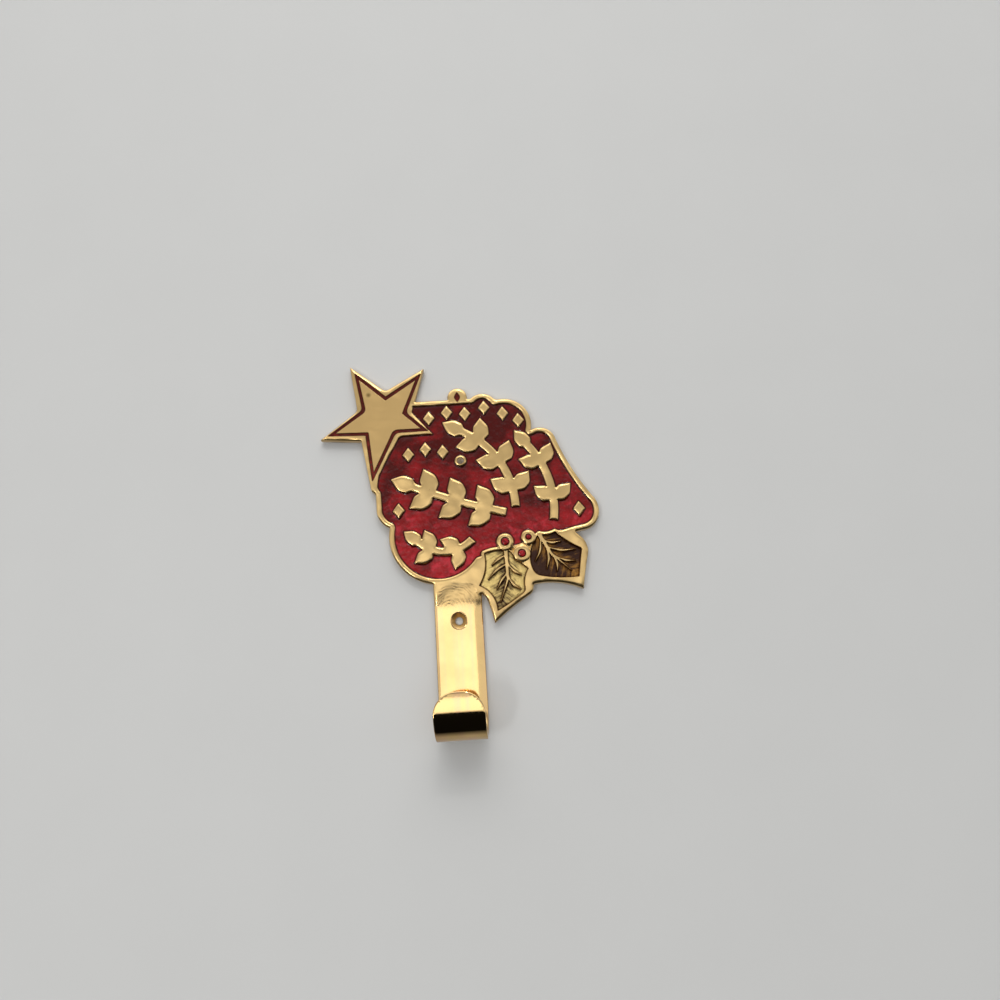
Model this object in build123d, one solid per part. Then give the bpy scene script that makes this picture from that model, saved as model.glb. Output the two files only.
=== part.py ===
from build123d import *
import math
import os

# Stocking holder: one brass casting with a sunk enamelled plaque, a star, holly leaves and a J hook.
# Millimetres. Back face on Y = 0, front towards -Y, +Z up, origin on the lower screw hole's axis.
# Outline points are (X, Z). A "level" is a distance from the wall.

# Strap and hook
STRAP_WIDTH = 24.0
STRAP_THICKNESS = 3.0
STRAP_EDGE = 0.7            # softening of the strap's edges
HOOK_DROP = 56.2            # lower screw hole down to the underside of the hook
HOOK_DEPTH = 27.5           # wall to the outer face of the lip
LIP_HEIGHT = 22.7           # underside of the hook up to the end of the lip
LIP_FLAT = 3.0              # straight part of the lip's end, between its rounded corners
RAMP_FOOT = 7.0             # where the strap starts to thicken towards the plaque
RAMP_TOP = 17.5             # where it has the plaque's thickness
STRAP_LAP = 2.5             # how far the strap runs on into the plaque

# Plaque
PLAQUE_THICKNESS = 4.0
PLAQUE_TOP = 116.2          # straight top edge
FLOOR_THICKNESS = 2.2       # metal left under the sunk field
RIM_WIDTH = 2.8
RIM_EDGE = 0.35             # softening of the outer edge
RELIEF_EDGE = 0.5           # softening of the ornament on the field
ENAMEL_THICKNESS = 0.9
SMALLEST_POND = 8.0         # a patch of field under this area stays metal, in square millimetres
STAR_TAIL = (-41.8, 68.9)   # tip of the star's lowest arm, on the plaque's edge

# Lobed outline of the plaque: each corner, and a point on the arc to the next corner (None: straight)
BODY = [
    ((-24.0, PLAQUE_TOP), None),
    ((12.0, PLAQUE_TOP), (19.0, 118.6)),
    ((25.0, 114.6), (37.0, 112.6)),
    ((42.7, 96.8), (49.6, 97.6)),
    ((55.2, 92.0), (62.4, 75.1)),
    ((72.0, 59.5), (74.2, 49.0)),
    ((69.2, 42.5), None),
    ((61.5, 41.2), None),
    ((12.0, 28.5), (-20.0, 21.6)),
    ((-32.9, 49.0), (-37.9, 53.4)),
    ((-39.4, 60.0), None),
    ((-39.6, 66.9), None),
    (STAR_TAIL, None),
    ((-34.2, 108.2), None),
]

# Screw holes
UPPER_HOLE = (5.0, 82.2)
UPPER_HOLE_DIAMETER = 3.4
UPPER_BOSS_DIAMETER = 6.2
LOWER_HOLE_DIAMETER = 3.8
COUNTERSINK_DIAMETER = 8.0
COUNTERSINK_ANGLE = 90.0

# Star: tips and inner corners in turn, from the arm that points up to the left
STAR_BORDER = [
    (-51.6, 138.3), (-33.0, 123.2), (-12.1, 134.9), (-19.4, 110.5), (-8.6, 97.6),
    (-26.2, 97.4), STAR_TAIL, (-46.4, 96.2), (-67.8, 98.1), (-48.1, 112.9),
]
STAR_LINE = [
    (-48.0, 132.4), (-32.9, 118.9), (-15.2, 130.1), (-23.4, 110.2), (-13.0, 100.3),
    (-28.7, 100.3), (-40.6, 76.3), (-43.2, 99.8), (-61.8, 100.5), (-44.4, 112.7),
]
STAR_GROOVE_WIDTH = 1.2     # groove along the line
STAR_GROOVE_DEPTH = 0.9
GROOVE_FILL = 0.6           # enamel in the star's and the tab's grooves

# Round tab on the top edge, with an engraved lozenge
TAB_CENTRE = (5.0, PLAQUE_TOP + 1.1)
TAB_DIAMETER = 10.4
TAB_MARK = (3.6, 5.6)       # width and height of the lozenge
TAB_MARK_DEPTH = 0.9

# Sunk holly leaves: corners and arcs as above
NEAR_LEAF = [
    ((19.5, 3.6), (27.0, 7.8)),
    ((34.4, 12.8), (34.0, 17.9)),
    ((36.3, 24.0), (32.6, 27.2)),
    ((27.8, 33.2), (21.5, 34.2)),
    ((14.4, 32.7), (14.4, 24.6)),
    ((11.0, 16.6), (16.9, 12.0)),
]
FAR_LEAF = [
    ((61.4, 18.2), (50.5, 18.4)),
    ((40.0, 20.4), (37.5, 29.5)),
    ((43.0, 41.0), (47.0, 40.5)),
    ((51.2, 41.7), (56.0, 37.4)),
    ((64.0, 32.4), (62.6, 25.2)),
]
# Outer edge round both leaves, from the strap to the plaque
LEAVES = [
    ((-4.0, 19.0), None),
    ((8.4, 17.6), None),
    ((9.6, 13.8), None),
    ((14.2, 10.8), (16.0, 5.6)),
    ((17.8, -2.3), (27.0, 4.9)),
    ((37.6, 11.6), None),
    ((38.6, 15.8), (51.5, 15.8)),
    ((63.3, 12.0), (65.2, 22.0)),
    ((67.6, 31.6), None),
    ((66.0, 36.8), None),
    ((61.5, 41.2), None),
    ((12.0, 28.5), None),
]
LEAF_RIM = 1.6              # metal between a leaf and the field
LEAF_FLOOR = 2.0
VEIN_WIDTH = 1.4            # at the bend of a vein; its tip is pointed
VEIN_ROOT = 0.5             # where a side vein leaves the midrib
MIDRIB_ROOT = 2.2           # at the leaf's stalk
VEIN_HEIGHT = 1.3
LACQUER_THICKNESS = 0.5

# Veins, the midrib first: root, bend, tip
NEAR_VEINS = [
    ((25.4, 35.0), (25.6, 19.0), (20.6, 6.2)),
    ((25.7, 31.4), (21.6, 29.6), (17.6, 26.2)),
    ((25.9, 27.0), (20.4, 24.2), (15.2, 19.0)),
    ((25.8, 22.4), (22.6, 19.0), (19.4, 13.6)),
    ((25.9, 26.4), (29.2, 22.8), (33.0, 20.6)),
    ((25.6, 20.4), (28.2, 16.2), (32.4, 13.2)),
]
FAR_VEINS = [
    ((42.4, 42.0), (48.4, 30.6), (59.4, 20.2)),
    ((44.8, 37.4), (49.4, 36.0), (54.6, 37.0)),
    ((46.8, 33.8), (54.0, 31.8), (62.0, 32.4)),
    ((49.6, 29.6), (55.6, 26.6), (61.4, 26.4)),
    ((43.6, 39.4), (42.8, 32.0), (39.6, 26.6)),
    ((46.4, 34.4), (47.0, 28.4), (45.4, 22.4)),
    ((49.2, 30.0), (51.0, 25.8), (50.8, 20.8)),
]

# Berries: centre and diameter of each ring
BERRIES = [((25.4, 38.1), 9.0), ((37.4, 39.8), 7.8), ((33.5, 31.6), 8.8)]
BERRY_HEIGHT = 0.6          # ring above the plaque's face
BERRY_EDGE = 0.6
BERRY_WALL = 2.4            # ring's width outside the enamel drop
BERRY_DEPTH = 1.0           # hollow for the drop
BERRY_WETTING = 0.6         # height of the drop against the hollow's wall
BERRY_DOME = 0.8            # crown of the drop above that

# Sprigs on the field: start, middle and end of each stem, pairs of leaflets, leaflet length
SPRIGS = [
    ((9.0, 40.5), (-6.5, 35.0), (-19.0, 41.5), 2, 12.0),
    ((27.0, 53.5), (2.0, 61.0), (-21.0, 70.0), 3, 15.0),
    ((32.0, 56.0), (24.5, 82.0), (5.5, 98.5), 3, 14.0),
    ((51.0, 48.0), (50.5, 68.0), (39.5, 89.5), 2, 13.0),
]
STEM_WIDTH = 4.4
STEM_LAP = 3.4              # length of stem inside the leaflet at its end
LEAFLET_SLENDERNESS = 1.7   # length over width
LEAFLET_SHOULDERS = (0.3, 0.64)     # between these shares of its length a leaflet has its full width
LEAFLET_SPREAD = 48.0
STUDS = [
    (-22.0, 87.0), (-13.0, 89.5), (-4.0, 87.5), (-10.5, 106.4), (-1.0, 109.0), (8.5, 107.8),
    (18.8, 110.6), (28.5, 106.8), (36.5, 102.6), (64.5, 53.0), (-28.0, 57.5),
]
STUD = (6.4, 8.4)           # width and height of a lozenge


def outline(stations):
    """Closed face from corners joined by arcs or straight lines."""
    edges = []
    for (corner, middle), (following, _) in zip(stations, stations[1:] + stations[:1]):
        if middle is None:
            edges.append(Line(corner, following))
        else:
            edges.append(ThreePointArc(corner, middle, following))
    return make_face(edges)


def polygon(corners):
    """Straight-edged face."""
    return make_face(Polyline(*corners, close=True))


def prism(face, back, front):
    """Solid between two levels."""
    return extrude(Plane.XZ.offset(back) * face, amount=front - back)


def turned(profile, centre):
    """Solid turned about the wall's normal at a centre; the profile is (radius, level) points."""
    corners = [(radius, -level) for radius, level in profile]
    face = polygon(corners)
    return Pos(centre[0], 0, centre[1]) * revolve(face, axis=Axis.Y)


def disc(centre, diameter):
    """Round face."""
    return Pos(*centre) * Circle(diameter / 2)


def lozenge(centre, size):
    """Four-sided face that stands on a corner."""
    x, y = centre
    width, height = size
    corners = [(x - width / 2, y), (x, y - height / 2), (x + width / 2, y), (x, y + height / 2)]
    return polygon(corners)


def pointed_strip(root, bend, tip, width, root_width):
    """Bent strip that is pointed at its tip, with a width at its bend and another at its root."""
    length = math.dist(root, tip)
    across = Vector(root[1] - tip[1], tip[0] - root[0]) / length
    sides = [across * root_width / 2, across * width / 2]
    left = [Vector(*root) + sides[0], Vector(*bend) + sides[1]]
    right = [Vector(*bend) - sides[1], Vector(*root) - sides[0]]
    return polygon([*left, Vector(*tip), *right])


def leaflet(length):
    """Leaflet that points along X from the origin, with straight cuts."""
    half = length / LEAFLET_SLENDERNESS / 2
    near, far = [share * length for share in LEAFLET_SHOULDERS]
    return polygon([(0, 0), (near, -half), (far, -half), (length, 0), (far, half), (near, half)])


def star_groove_face():
    """Line of even width round the star, with sharp corners."""
    line = polygon(STAR_LINE)
    outer = offset(line, STAR_GROOVE_WIDTH / 2, kind=Kind.INTERSECTION)
    return outer - offset(line, -STAR_GROOVE_WIDTH / 2, kind=Kind.INTERSECTION)


def leaf_face(stations):
    """Sunk part of a leaf, clear of the berry rings."""
    shape = outline(stations)
    for centre, diameter in BERRIES:
        shape -= disc(centre, diameter)
    return shape


def vein_face(stations, veins):
    """Midrib and side veins, kept inside the leaf."""
    shape = pointed_strip(*veins[0], VEIN_WIDTH, MIDRIB_ROOT)
    for vein in veins[1:]:
        shape += pointed_strip(*vein, VEIN_WIDTH, VEIN_ROOT)
    return shape & leaf_face(stations)


def plate_face():
    """Whole flat outline above the strap."""
    shape = outline(BODY) + outline(LEAVES)
    return shape + polygon(STAR_BORDER) + disc(TAB_CENTRE, TAB_DIAMETER)


def sprig_faces(start, middle, end, pairs, length):
    """Curved stem, pairs of leaflets along it and one more at its end."""
    stem = ThreePointArc(start, middle, end)
    faces = [trace(stem, line_width=STEM_WIDTH)]
    places = [(1.0 - STEM_LAP / stem.length, 0.0)]
    for pair in range(round(pairs)):
        along = (pair + 0.5) / round(pairs) * 0.9
        places += [(along, LEAFLET_SPREAD), (along, -LEAFLET_SPREAD)]
    for along, spread in places:
        heading = stem % along
        turn = math.degrees(math.atan2(heading.Y, heading.X)) + spread
        faces.append(Pos(stem @ along) * Rot(0, 0, turn) * leaflet(length))
    return faces


def ornament_faces():
    """Studs and sprigs that stand up in the field."""
    faces = [lozenge(centre, STUD) for centre in STUDS]
    for stem in SPRIGS:
        faces += sprig_faces(*stem)
    return faces


def field_face():
    """Sunk field inside the rim, up to the star, the upper hole's boss, the leaves and the berries."""
    shape = offset(outline(BODY), -RIM_WIDTH) - polygon(STAR_BORDER)
    shape -= disc(UPPER_HOLE, UPPER_BOSS_DIAMETER)
    for stations in (NEAR_LEAF, FAR_LEAF):
        shape -= offset(outline(stations), LEAF_RIM)
    for centre, diameter in BERRIES:
        shape -= disc(centre, diameter)
    return Sketch(children=[face for face in shape.faces() if face.area > SMALLEST_POND])


def raised(face):
    """Ornament from the field's floor to the plaque's face, with a soft edge."""
    shape = prism(face, FLOOR_THICKNESS, PLAQUE_THICKNESS)
    return chamfer(shape.edges().group_by(Axis.Y)[0], RELIEF_EDGE)


def strap():
    """Strap, ramp up to the plaque, J bend and round-ended lip, from one side profile."""
    radius = HOOK_DEPTH / 2
    bend = radius - HOOK_DROP
    lip = LIP_HEIGHT - HOOK_DROP
    top = RAMP_TOP + STRAP_LAP
    inner = HOOK_DEPTH - STRAP_THICKNESS
    ramp = Spline((-STRAP_THICKNESS, RAMP_FOOT), (-PLAQUE_THICKNESS, RAMP_TOP), tangents=[(0, 1), (0, 1)])
    profile = make_face([
        Line((0, top), (0, bend)),
        ThreePointArc((0, bend), (-radius, bend - radius), (-HOOK_DEPTH, bend)),
        Line((-HOOK_DEPTH, bend), (-HOOK_DEPTH, lip)),
        Line((-HOOK_DEPTH, lip), (-inner, lip)),
        Line((-inner, lip), (-inner, bend)),
        ThreePointArc((-inner, bend), (-radius, bend - radius + STRAP_THICKNESS), (-STRAP_THICKNESS, bend)),
        Line((-STRAP_THICKNESS, bend), (-STRAP_THICKNESS, RAMP_FOOT)),
        ramp,
        Line((-PLAQUE_THICKNESS, RAMP_TOP), (-PLAQUE_THICKNESS, top)),
        Line((-PLAQUE_THICKNESS, top), (0, top)),
    ])
    shape = extrude(Plane.YZ * profile, amount=STRAP_WIDTH / 2, both=True) - lip_corners(radius, lip)
    crosswise = shape.edges().filter_by(Axis.X)
    return chamfer(shape.edges() - crosswise, STRAP_EDGE)


def lip_corners(radius, lip):
    """What is cut off to round the lip's end."""
    corner = (STRAP_WIDTH - LIP_FLAT) / 2
    end = Pos(0, lip - corner) * Rectangle(STRAP_WIDTH, 2 * corner)
    rounded = fillet(end.vertices().group_by(Axis.Y)[-1], corner)
    return prism(end - rounded, radius, HOOK_DEPTH)


def berry_ring(centre, diameter):
    """Raised boss that holds the enamel drop."""
    top = PLAQUE_THICKNESS + BERRY_HEIGHT
    outer = diameter / 2
    shoulder = [(outer - BERRY_EDGE, top), (outer, top - BERRY_EDGE)]
    return turned([(0, top), *shoulder, (outer, FLOOR_THICKNESS), (0, FLOOR_THICKNESS)], centre)


def berry_hollow(centre, diameter):
    """What is cut from a boss to take its drop."""
    top = PLAQUE_THICKNESS + BERRY_HEIGHT
    return prism(disc(centre, diameter - 2 * BERRY_WALL), top - BERRY_DEPTH, top)


def berry_drop(centre, diameter):
    """Domed enamel drop in a berry's hollow."""
    radius = diameter / 2 - BERRY_WALL
    foot = PLAQUE_THICKNESS + BERRY_HEIGHT - BERRY_DEPTH
    shoulder = foot + BERRY_WETTING
    crown = shoulder + BERRY_DOME
    return turned([(0, foot), (radius, foot), (radius, shoulder), (0, crown)], centre)


def screw_holes():
    """Plain hole in the plaque and countersunk hole in the strap."""
    bore = LOWER_HOLE_DIAMETER / 2
    head = COUNTERSINK_DIAMETER / 2
    seat = STRAP_THICKNESS - (head - bore) / math.tan(math.radians(COUNTERSINK_ANGLE / 2))
    lower = turned([(0, 0), (bore, 0), (bore, seat), (head, STRAP_THICKNESS), (0, STRAP_THICKNESS)], (0, 0))
    return lower + prism(disc(UPPER_HOLE, UPPER_HOLE_DIAMETER), 0, PLAQUE_THICKNESS)


def brass_casting(field, ornament):
    """Plate with its sunk parts, then ornament, veins, strap, berries and screw holes."""
    shape = prism(plate_face(), 0, PLAQUE_THICKNESS)
    shape = chamfer(shape.edges().group_by(Axis.Y)[0], RIM_EDGE)
    shape -= prism(field, FLOOR_THICKNESS, PLAQUE_THICKNESS)
    shape -= prism(star_groove_face(), PLAQUE_THICKNESS - STAR_GROOVE_DEPTH, PLAQUE_THICKNESS)
    shape -= prism(lozenge(TAB_CENTRE, TAB_MARK), PLAQUE_THICKNESS - TAB_MARK_DEPTH, PLAQUE_THICKNESS)
    shape += strap()
    for stations, veins in ((NEAR_LEAF, NEAR_VEINS), (FAR_LEAF, FAR_VEINS)):
        shape -= prism(leaf_face(stations), LEAF_FLOOR, PLAQUE_THICKNESS)
        shape += prism(vein_face(stations, veins), LEAF_FLOOR, LEAF_FLOOR + VEIN_HEIGHT)
    shape += [raised(face) for face in ornament]
    shape += [berry_ring(*berry) for berry in BERRIES]
    shape -= [berry_hollow(*berry) for berry in BERRIES]
    return shape - screw_holes()


def main():
    field = field_face()
    ornament = ornament_faces()
    groove_floor = PLAQUE_THICKNESS - STAR_GROOVE_DEPTH
    mark_floor = PLAQUE_THICKNESS - TAB_MARK_DEPTH
    nodes = {
        "brass_casting": brass_casting(field, ornament),
        "field_enamel": prism(field - ornament, FLOOR_THICKNESS, FLOOR_THICKNESS + ENAMEL_THICKNESS),
        "star_enamel": prism(star_groove_face(), groove_floor, groove_floor + GROOVE_FILL),
        "tab_enamel": prism(lozenge(TAB_CENTRE, TAB_MARK), mark_floor, mark_floor + GROOVE_FILL),
    }
    for number, berry in enumerate(BERRIES, start=1):
        nodes[f"berry_enamel_{number}"] = berry_drop(*berry)
    for name, stations, veins in (("near", NEAR_LEAF, NEAR_VEINS), ("far", FAR_LEAF, FAR_VEINS)):
        sunk = leaf_face(stations) - vein_face(stations, veins)
        nodes[f"{name}_leaf_lacquer"] = prism(sunk, LEAF_FLOOR, LEAF_FLOOR + LACQUER_THICKNESS)
    os.makedirs("parts", exist_ok=True)
    for name, shape in nodes.items():
        export_step(shape, f"parts/{name}.step")


main()
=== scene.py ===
import math
from collections import namedtuple

import bpy
import numpy as np
from bpy.props import FloatProperty, FloatVectorProperty, PointerProperty
from mathutils import Matrix, Vector, kdtree
from mathutils.geometry import delaunay_2d_cdt


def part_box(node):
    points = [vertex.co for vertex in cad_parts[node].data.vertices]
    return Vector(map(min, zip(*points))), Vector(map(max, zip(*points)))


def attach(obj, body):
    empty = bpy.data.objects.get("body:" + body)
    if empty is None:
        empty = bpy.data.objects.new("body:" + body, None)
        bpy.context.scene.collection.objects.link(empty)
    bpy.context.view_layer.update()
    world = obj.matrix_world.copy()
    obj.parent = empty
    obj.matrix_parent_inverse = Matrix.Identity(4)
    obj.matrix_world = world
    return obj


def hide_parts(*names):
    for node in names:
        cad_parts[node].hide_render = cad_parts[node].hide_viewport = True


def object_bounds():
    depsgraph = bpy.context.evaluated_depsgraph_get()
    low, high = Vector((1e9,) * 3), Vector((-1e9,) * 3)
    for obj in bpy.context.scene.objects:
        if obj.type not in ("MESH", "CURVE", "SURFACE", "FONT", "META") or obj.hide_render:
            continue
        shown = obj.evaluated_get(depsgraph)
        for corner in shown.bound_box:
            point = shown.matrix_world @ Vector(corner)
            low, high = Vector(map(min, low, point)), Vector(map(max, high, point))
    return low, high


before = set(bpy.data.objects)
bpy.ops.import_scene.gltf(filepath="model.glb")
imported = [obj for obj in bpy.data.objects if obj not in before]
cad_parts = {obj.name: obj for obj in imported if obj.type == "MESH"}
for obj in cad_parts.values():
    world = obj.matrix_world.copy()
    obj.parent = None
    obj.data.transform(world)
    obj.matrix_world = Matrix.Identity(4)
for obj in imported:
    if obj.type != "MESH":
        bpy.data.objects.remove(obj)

bl_info = {
    "name": "Enamelled brass stocking holder",
    "version": (1, 0, 0),
    "blender": (4, 5, 0),
    "location": "3D View > Sidebar > Holder",
    "description": "Dresses the stocking holder: cast brass, poured enamel, lacquered leaves and a studio",
    "category": "Object",
}

CAD_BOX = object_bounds()
MM = 0.001

# Plan points are (X, Z) in millimetres; a level is a distance from the wall, in millimetres.
BEND_RADIUS = -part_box("brass_casting")[0].y / MM / 2
BEND_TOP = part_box("brass_casting")[0].z / MM + BEND_RADIUS
PLAQUE_LEVEL = 4.0
STRAP_LEVEL = 3.0
VEIN_LEVEL = 3.3
STRAP_HALF = 12.0
STRAP_TOP = 21.0
RAMP = (6.0, 18.5)
TONGUE_TOP = 4.0
LIP_END = -33.5
LIP_CORNER = 10.5
LOWER_HOLE = 1.9
COUNTERSINK = 4.0
# Lower edge of the plaque's face where it crosses the strap's ramp, then round above it
PLAQUE_FOOT = np.array([
    (-2.0, 19.3), (0.0, 19.0), (8.4, 17.6), (9.6, 13.8), (14.2, 10.8), (20.0, 30.0), (-2.0, 30.0)
])
FOOT_LEGS = 4
FOOT_SLOPE = 2.0
# The strap's right side is worn down from here to its edge, and less so up the ramp
WEAR_START = 6.2
WEAR_DEPTH = 0.4
WEAR_END = 14.0
WEAR_FADE = 8.0

POUR_NODES = ("field_enamel", "star_enamel", "tab_enamel", "near_leaf_lacquer", "far_leaf_lacquer")
LEAF_NODES = POUR_NODES[3:]
BERRY_NODES = ("berry_enamel_1", "berry_enamel_2", "berry_enamel_3")
BERRY_RING = 2.4
BERRY_RIDGE = 0.9
BERRY_SWELL = 0.6
BERRY_ROOT = 0.6
# The star's line is poured a little over both sides of its groove
GROOVE_SPREAD = 0.25
# Width and height of the rolled edges of lines, berries and the upper hole, and of the leaves
FINE_ROLL = (0.3, 0.3)
LEAF_ROLL = (0.4, 0.3)
# Shares of a rolled edge's width at which it has a row of points
ROLL_ROWS = (0.06, 0.2, 0.45, 0.75, 1.0, 1.3)
BACK_ROWS = (0.1, 0.4, 1.0)
POUR_ROWS = (0.12, 0.35, 0.7, 1.2)
# How far the fills of lines and leaves sink beside the metal, and how wide a pour's slope to the metal is
LINE_CLIMB = -0.05
LEAF_CLIMB = -0.35
POUR_SLOPE = 0.4
LEAF_SLOPE = 0.8

# Marks that the points carry for the materials: distance to an edge, how far the buff reached, and dullness
MARKS = ("edge", "front", "satin")
STAR_SATIN = 1.45
SEAT_SATIN = 1.8
SEAT_EDGE = 0.4
# Walls carry an edge of 0 and the outer rim's wall a small one, so the brass paints them brown: patina with
# painted shade
RIM_MARKS = (0.22, 0.6, 0)
WALL_MARKS = (0, 0.5, 0)
FLOOR_MARKS = (0, 0, 0)
BACK_EDGE = 2.0

CRUMB = 0.03
POINTS_PER_MM = 4096
CORNER_TURN = 0.42
BLUNT_TURN = 1.2
TIP_RADIUS = 0.15
NO_POINTS = np.empty((0, 2))

CAMERA_PLACE = Vector((18.669, -380.107, -26.733)) * MM
CAMERA_RIGHT = Vector((0.99797, 0.0, -0.06372))
CAMERA_UP = Vector((0.06209, -0.22495, 0.97239))
CAMERA_LENS = 27.04
CAMERA_SENSOR = 36.0
# Brightness of the room at the sine of each height, as the metal mirrors it
ROOM_BANDS = (
    (-1.0, 0.004), (-0.12, 0.004), (-0.1, 0.8), (0.1, 0.95), (0.2, 0.72), (0.32, 0.42), (0.55, 0.4), (0.8, 1.7)
)


def linear(code):
    """Linear colour of an sRGB hex code."""
    parts = [int(code[i:i + 2], 16) / 255 for i in (1, 3, 5)]
    return [c / 12.92 if c <= 0.04045 else ((c + 0.055) / 1.055) ** 2.4 for c in parts]


def colour(code, name, description):
    """Property for a colour, from its sRGB hex code."""
    return FloatVectorProperty(
        name=name, description=description, subtype="COLOR", size=3, min=0, max=1, default=linear(code)
    )


def length(size, name, description, least=0.1):
    """Property for a length, from its millimetres."""
    return FloatProperty(
        name=name, description=description, default=size * MM, min=least * MM, unit="LENGTH", precision=5
    )


def power(watts, name, description):
    """Property for a lamp's strength."""
    return FloatProperty(name=name, description=description, default=watts, min=0.0, unit="POWER")


def in_mm(metres):
    """Millimetres of a length property."""
    return round(metres / MM, 4)


class HolderCasting(bpy.types.PropertyGroup):
    rim_roll: length(1.6, "Rim rounding", "Width of the rolled outer edge")
    rim_drop: length(1.1, "Rim drop", "Height of the rolled outer edge")
    relief_roll: length(1.7, "Relief rounding", "Width of the rolled edges along the enamel")
    back_roll: length(0.4, "Back rounding", "Radius of the edge against the wall")
    step: length(0.45, "Outline step", "Spacing of points along an outline", 0.2)
    lean: length(-1.0, "Hook lean", "How far the lip stands to one side of the strap", -5.0)
    curl: length(70.0, "Lip curl", "Radius of the slight curve of the lip towards the wall", 20.0)
    brass: colour("#EECA88", "Brass", "Polished cast brass")
    streak: colour("#EDBE94", "Streak", "Faint copper streaks along the strap")
    # Patina in the hollows, with painted shade along every edge and on the walls
    aged_and_edge_shade: colour("#8A5F2C", "Aged brass with painted edge shade", "Brass darkened in corners")
    smudge: colour("#5C4A22", "Smudge", "Small stain on the star")


class HolderEnamel(bpy.types.PropertyGroup):
    climb: length(0.22, "Climb", "How far the enamel creeps up the metal", 0.0)
    deep: colour("#4A0C08", "Deep red", "Thick enamel")
    bright: colour("#9A1A1E", "Bright red", "Thin enamel with the metal glowing through")
    # Painted glints: bright patches that stand for the enamel's glassy highlights, mostly low down
    glow_and_painted_light: colour("#C83440", "Glowing red", "Thinnest enamel")
    line: colour("#84281A", "Line red", "Enamel in the star's groove")
    line_deep: colour("#4C150C", "Deep line red", "Thick enamel in the star's groove")
    gold: colour("#EACC82", "Olive gold", "Thin lacquer on the near leaf")
    amber: colour("#AC7A38", "Amber", "Thin lacquer on the far leaf")
    # Also the painted shade along the leaves' veins and rim
    brown: colour("#341808", "Brown", "Thick leaf lacquer")


class HolderStage(bpy.types.PropertyGroup):
    surface: colour("#CACAC8", "Surface", "Plain pale surface behind the holder")
    beyond: colour("#D6D6D5", "Beyond", "Pale backdrop past the surface")
    key: power(11.5, "Ceiling", "Strength of the large light above")
    fill: power(6.5, "Fill", "Strength of the soft light below")
    window: power(0.34, "Window", "Strength of the light that the strap mirrors")
    side: power(2.4, "Side window", "Strength of the light along the left edges")
    spot: power(1.6, "Spot", "Strength of the small light that glints in the enamel")


def floor_of(name):
    """Level of the bottom of a pour."""
    return -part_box(name)[1].y / MM


def face_loops(name, level):
    """Outlines of a CAD node's flat face at a level, each with the face on its left as seen from the front."""
    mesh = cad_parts[name].data
    place = np.empty(len(mesh.vertices) * 3)
    mesh.vertices.foreach_get("co", place)
    place = place.reshape(-1, 3) / MM
    mesh.calc_loop_triangles()
    corners = np.empty(len(mesh.loop_triangles) * 3, int)
    mesh.loop_triangles.foreach_get("vertices", corners)
    flat = np.abs(place[:, 1] + level) < 0.004
    keys = [(round(p[0], 2), round(p[2], 2)) for p in place]
    found = {}
    for corner in corners.reshape(-1, 3):
        if not flat[corner].all():
            continue
        ends = [keys[i] for i in corner]
        area = sum(a[0] * b[1] - b[0] * a[1] for a, b in zip(ends, ends[1:] + ends[:1]))
        if area < 0:
            ends.reverse()
        for a, b in zip(ends, ends[1:] + ends[:1]):
            found[(a, b)] = True
    following = {}
    for a, b in found:
        if (b, a) not in found and a != b:
            following.setdefault(a, []).append(b)
    loops = []
    while following:
        start = next(iter(following))
        loop = [start]
        while True:
            here = loop[-1]
            choices = following[here]
            ahead = choices.pop()
            if not choices:
                del following[here]
            if ahead == start:
                break
            loop.append(ahead)
        loops.append(np.array(loop))
    return loops


def without_crumbs(loop):
    """Loop without points that lie almost on each other."""
    kept = [loop[0]]
    for point in loop[1:]:
        if np.hypot(*(point - kept[-1])) > CRUMB:
            kept.append(point)
    if len(kept) > 3 and np.hypot(*(kept[0] - kept[-1])) <= CRUMB:
        kept.pop()
    return np.array(kept)


def span_curve(points, step):
    """Smooth curve through a run of points, spaced by about a step; a run of two is a straight line."""
    legs = np.diff(points, axis=0)
    lengths = np.hypot(legs[:, 0], legs[:, 1])
    aims = legs / lengths[:, None]
    tangents = np.empty_like(points)
    tangents[0] = aims[0]
    tangents[-1] = aims[-1]
    for i in range(1, len(points) - 1):
        before, after = lengths[i - 1], lengths[i]
        if max(before, after) > 3 * min(before, after):
            mixed = aims[i - 1] * before + aims[i] * after
        else:
            mixed = aims[i - 1] * after + aims[i] * before
        tangents[i] = mixed / np.hypot(*mixed)
    if len(points) > 3:
        tangents[0] = 2 * aims[0] - tangents[1]
        tangents[-1] = 2 * aims[-1] - tangents[-2]
    curve = []
    for i, size in enumerate(lengths):
        count = max(1, round(size / step))
        for t in np.arange(count) / count:
            a = (1 + 2 * t) * (1 - t) ** 2 * points[i] + t * (1 - t) ** 2 * size * tangents[i]
            b = t * t * (3 - 2 * t) * points[i + 1] + t * t * (t - 1) * size * tangents[i + 1]
            curve.append(a + b)
    curve.append(points[-1])
    return np.array(curve)


def on_grid(points):
    """Points moved to a very fine grid, so that sheets and walls meet exactly."""
    return np.round(points * POINTS_PER_MM) / POINTS_PER_MM


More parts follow.
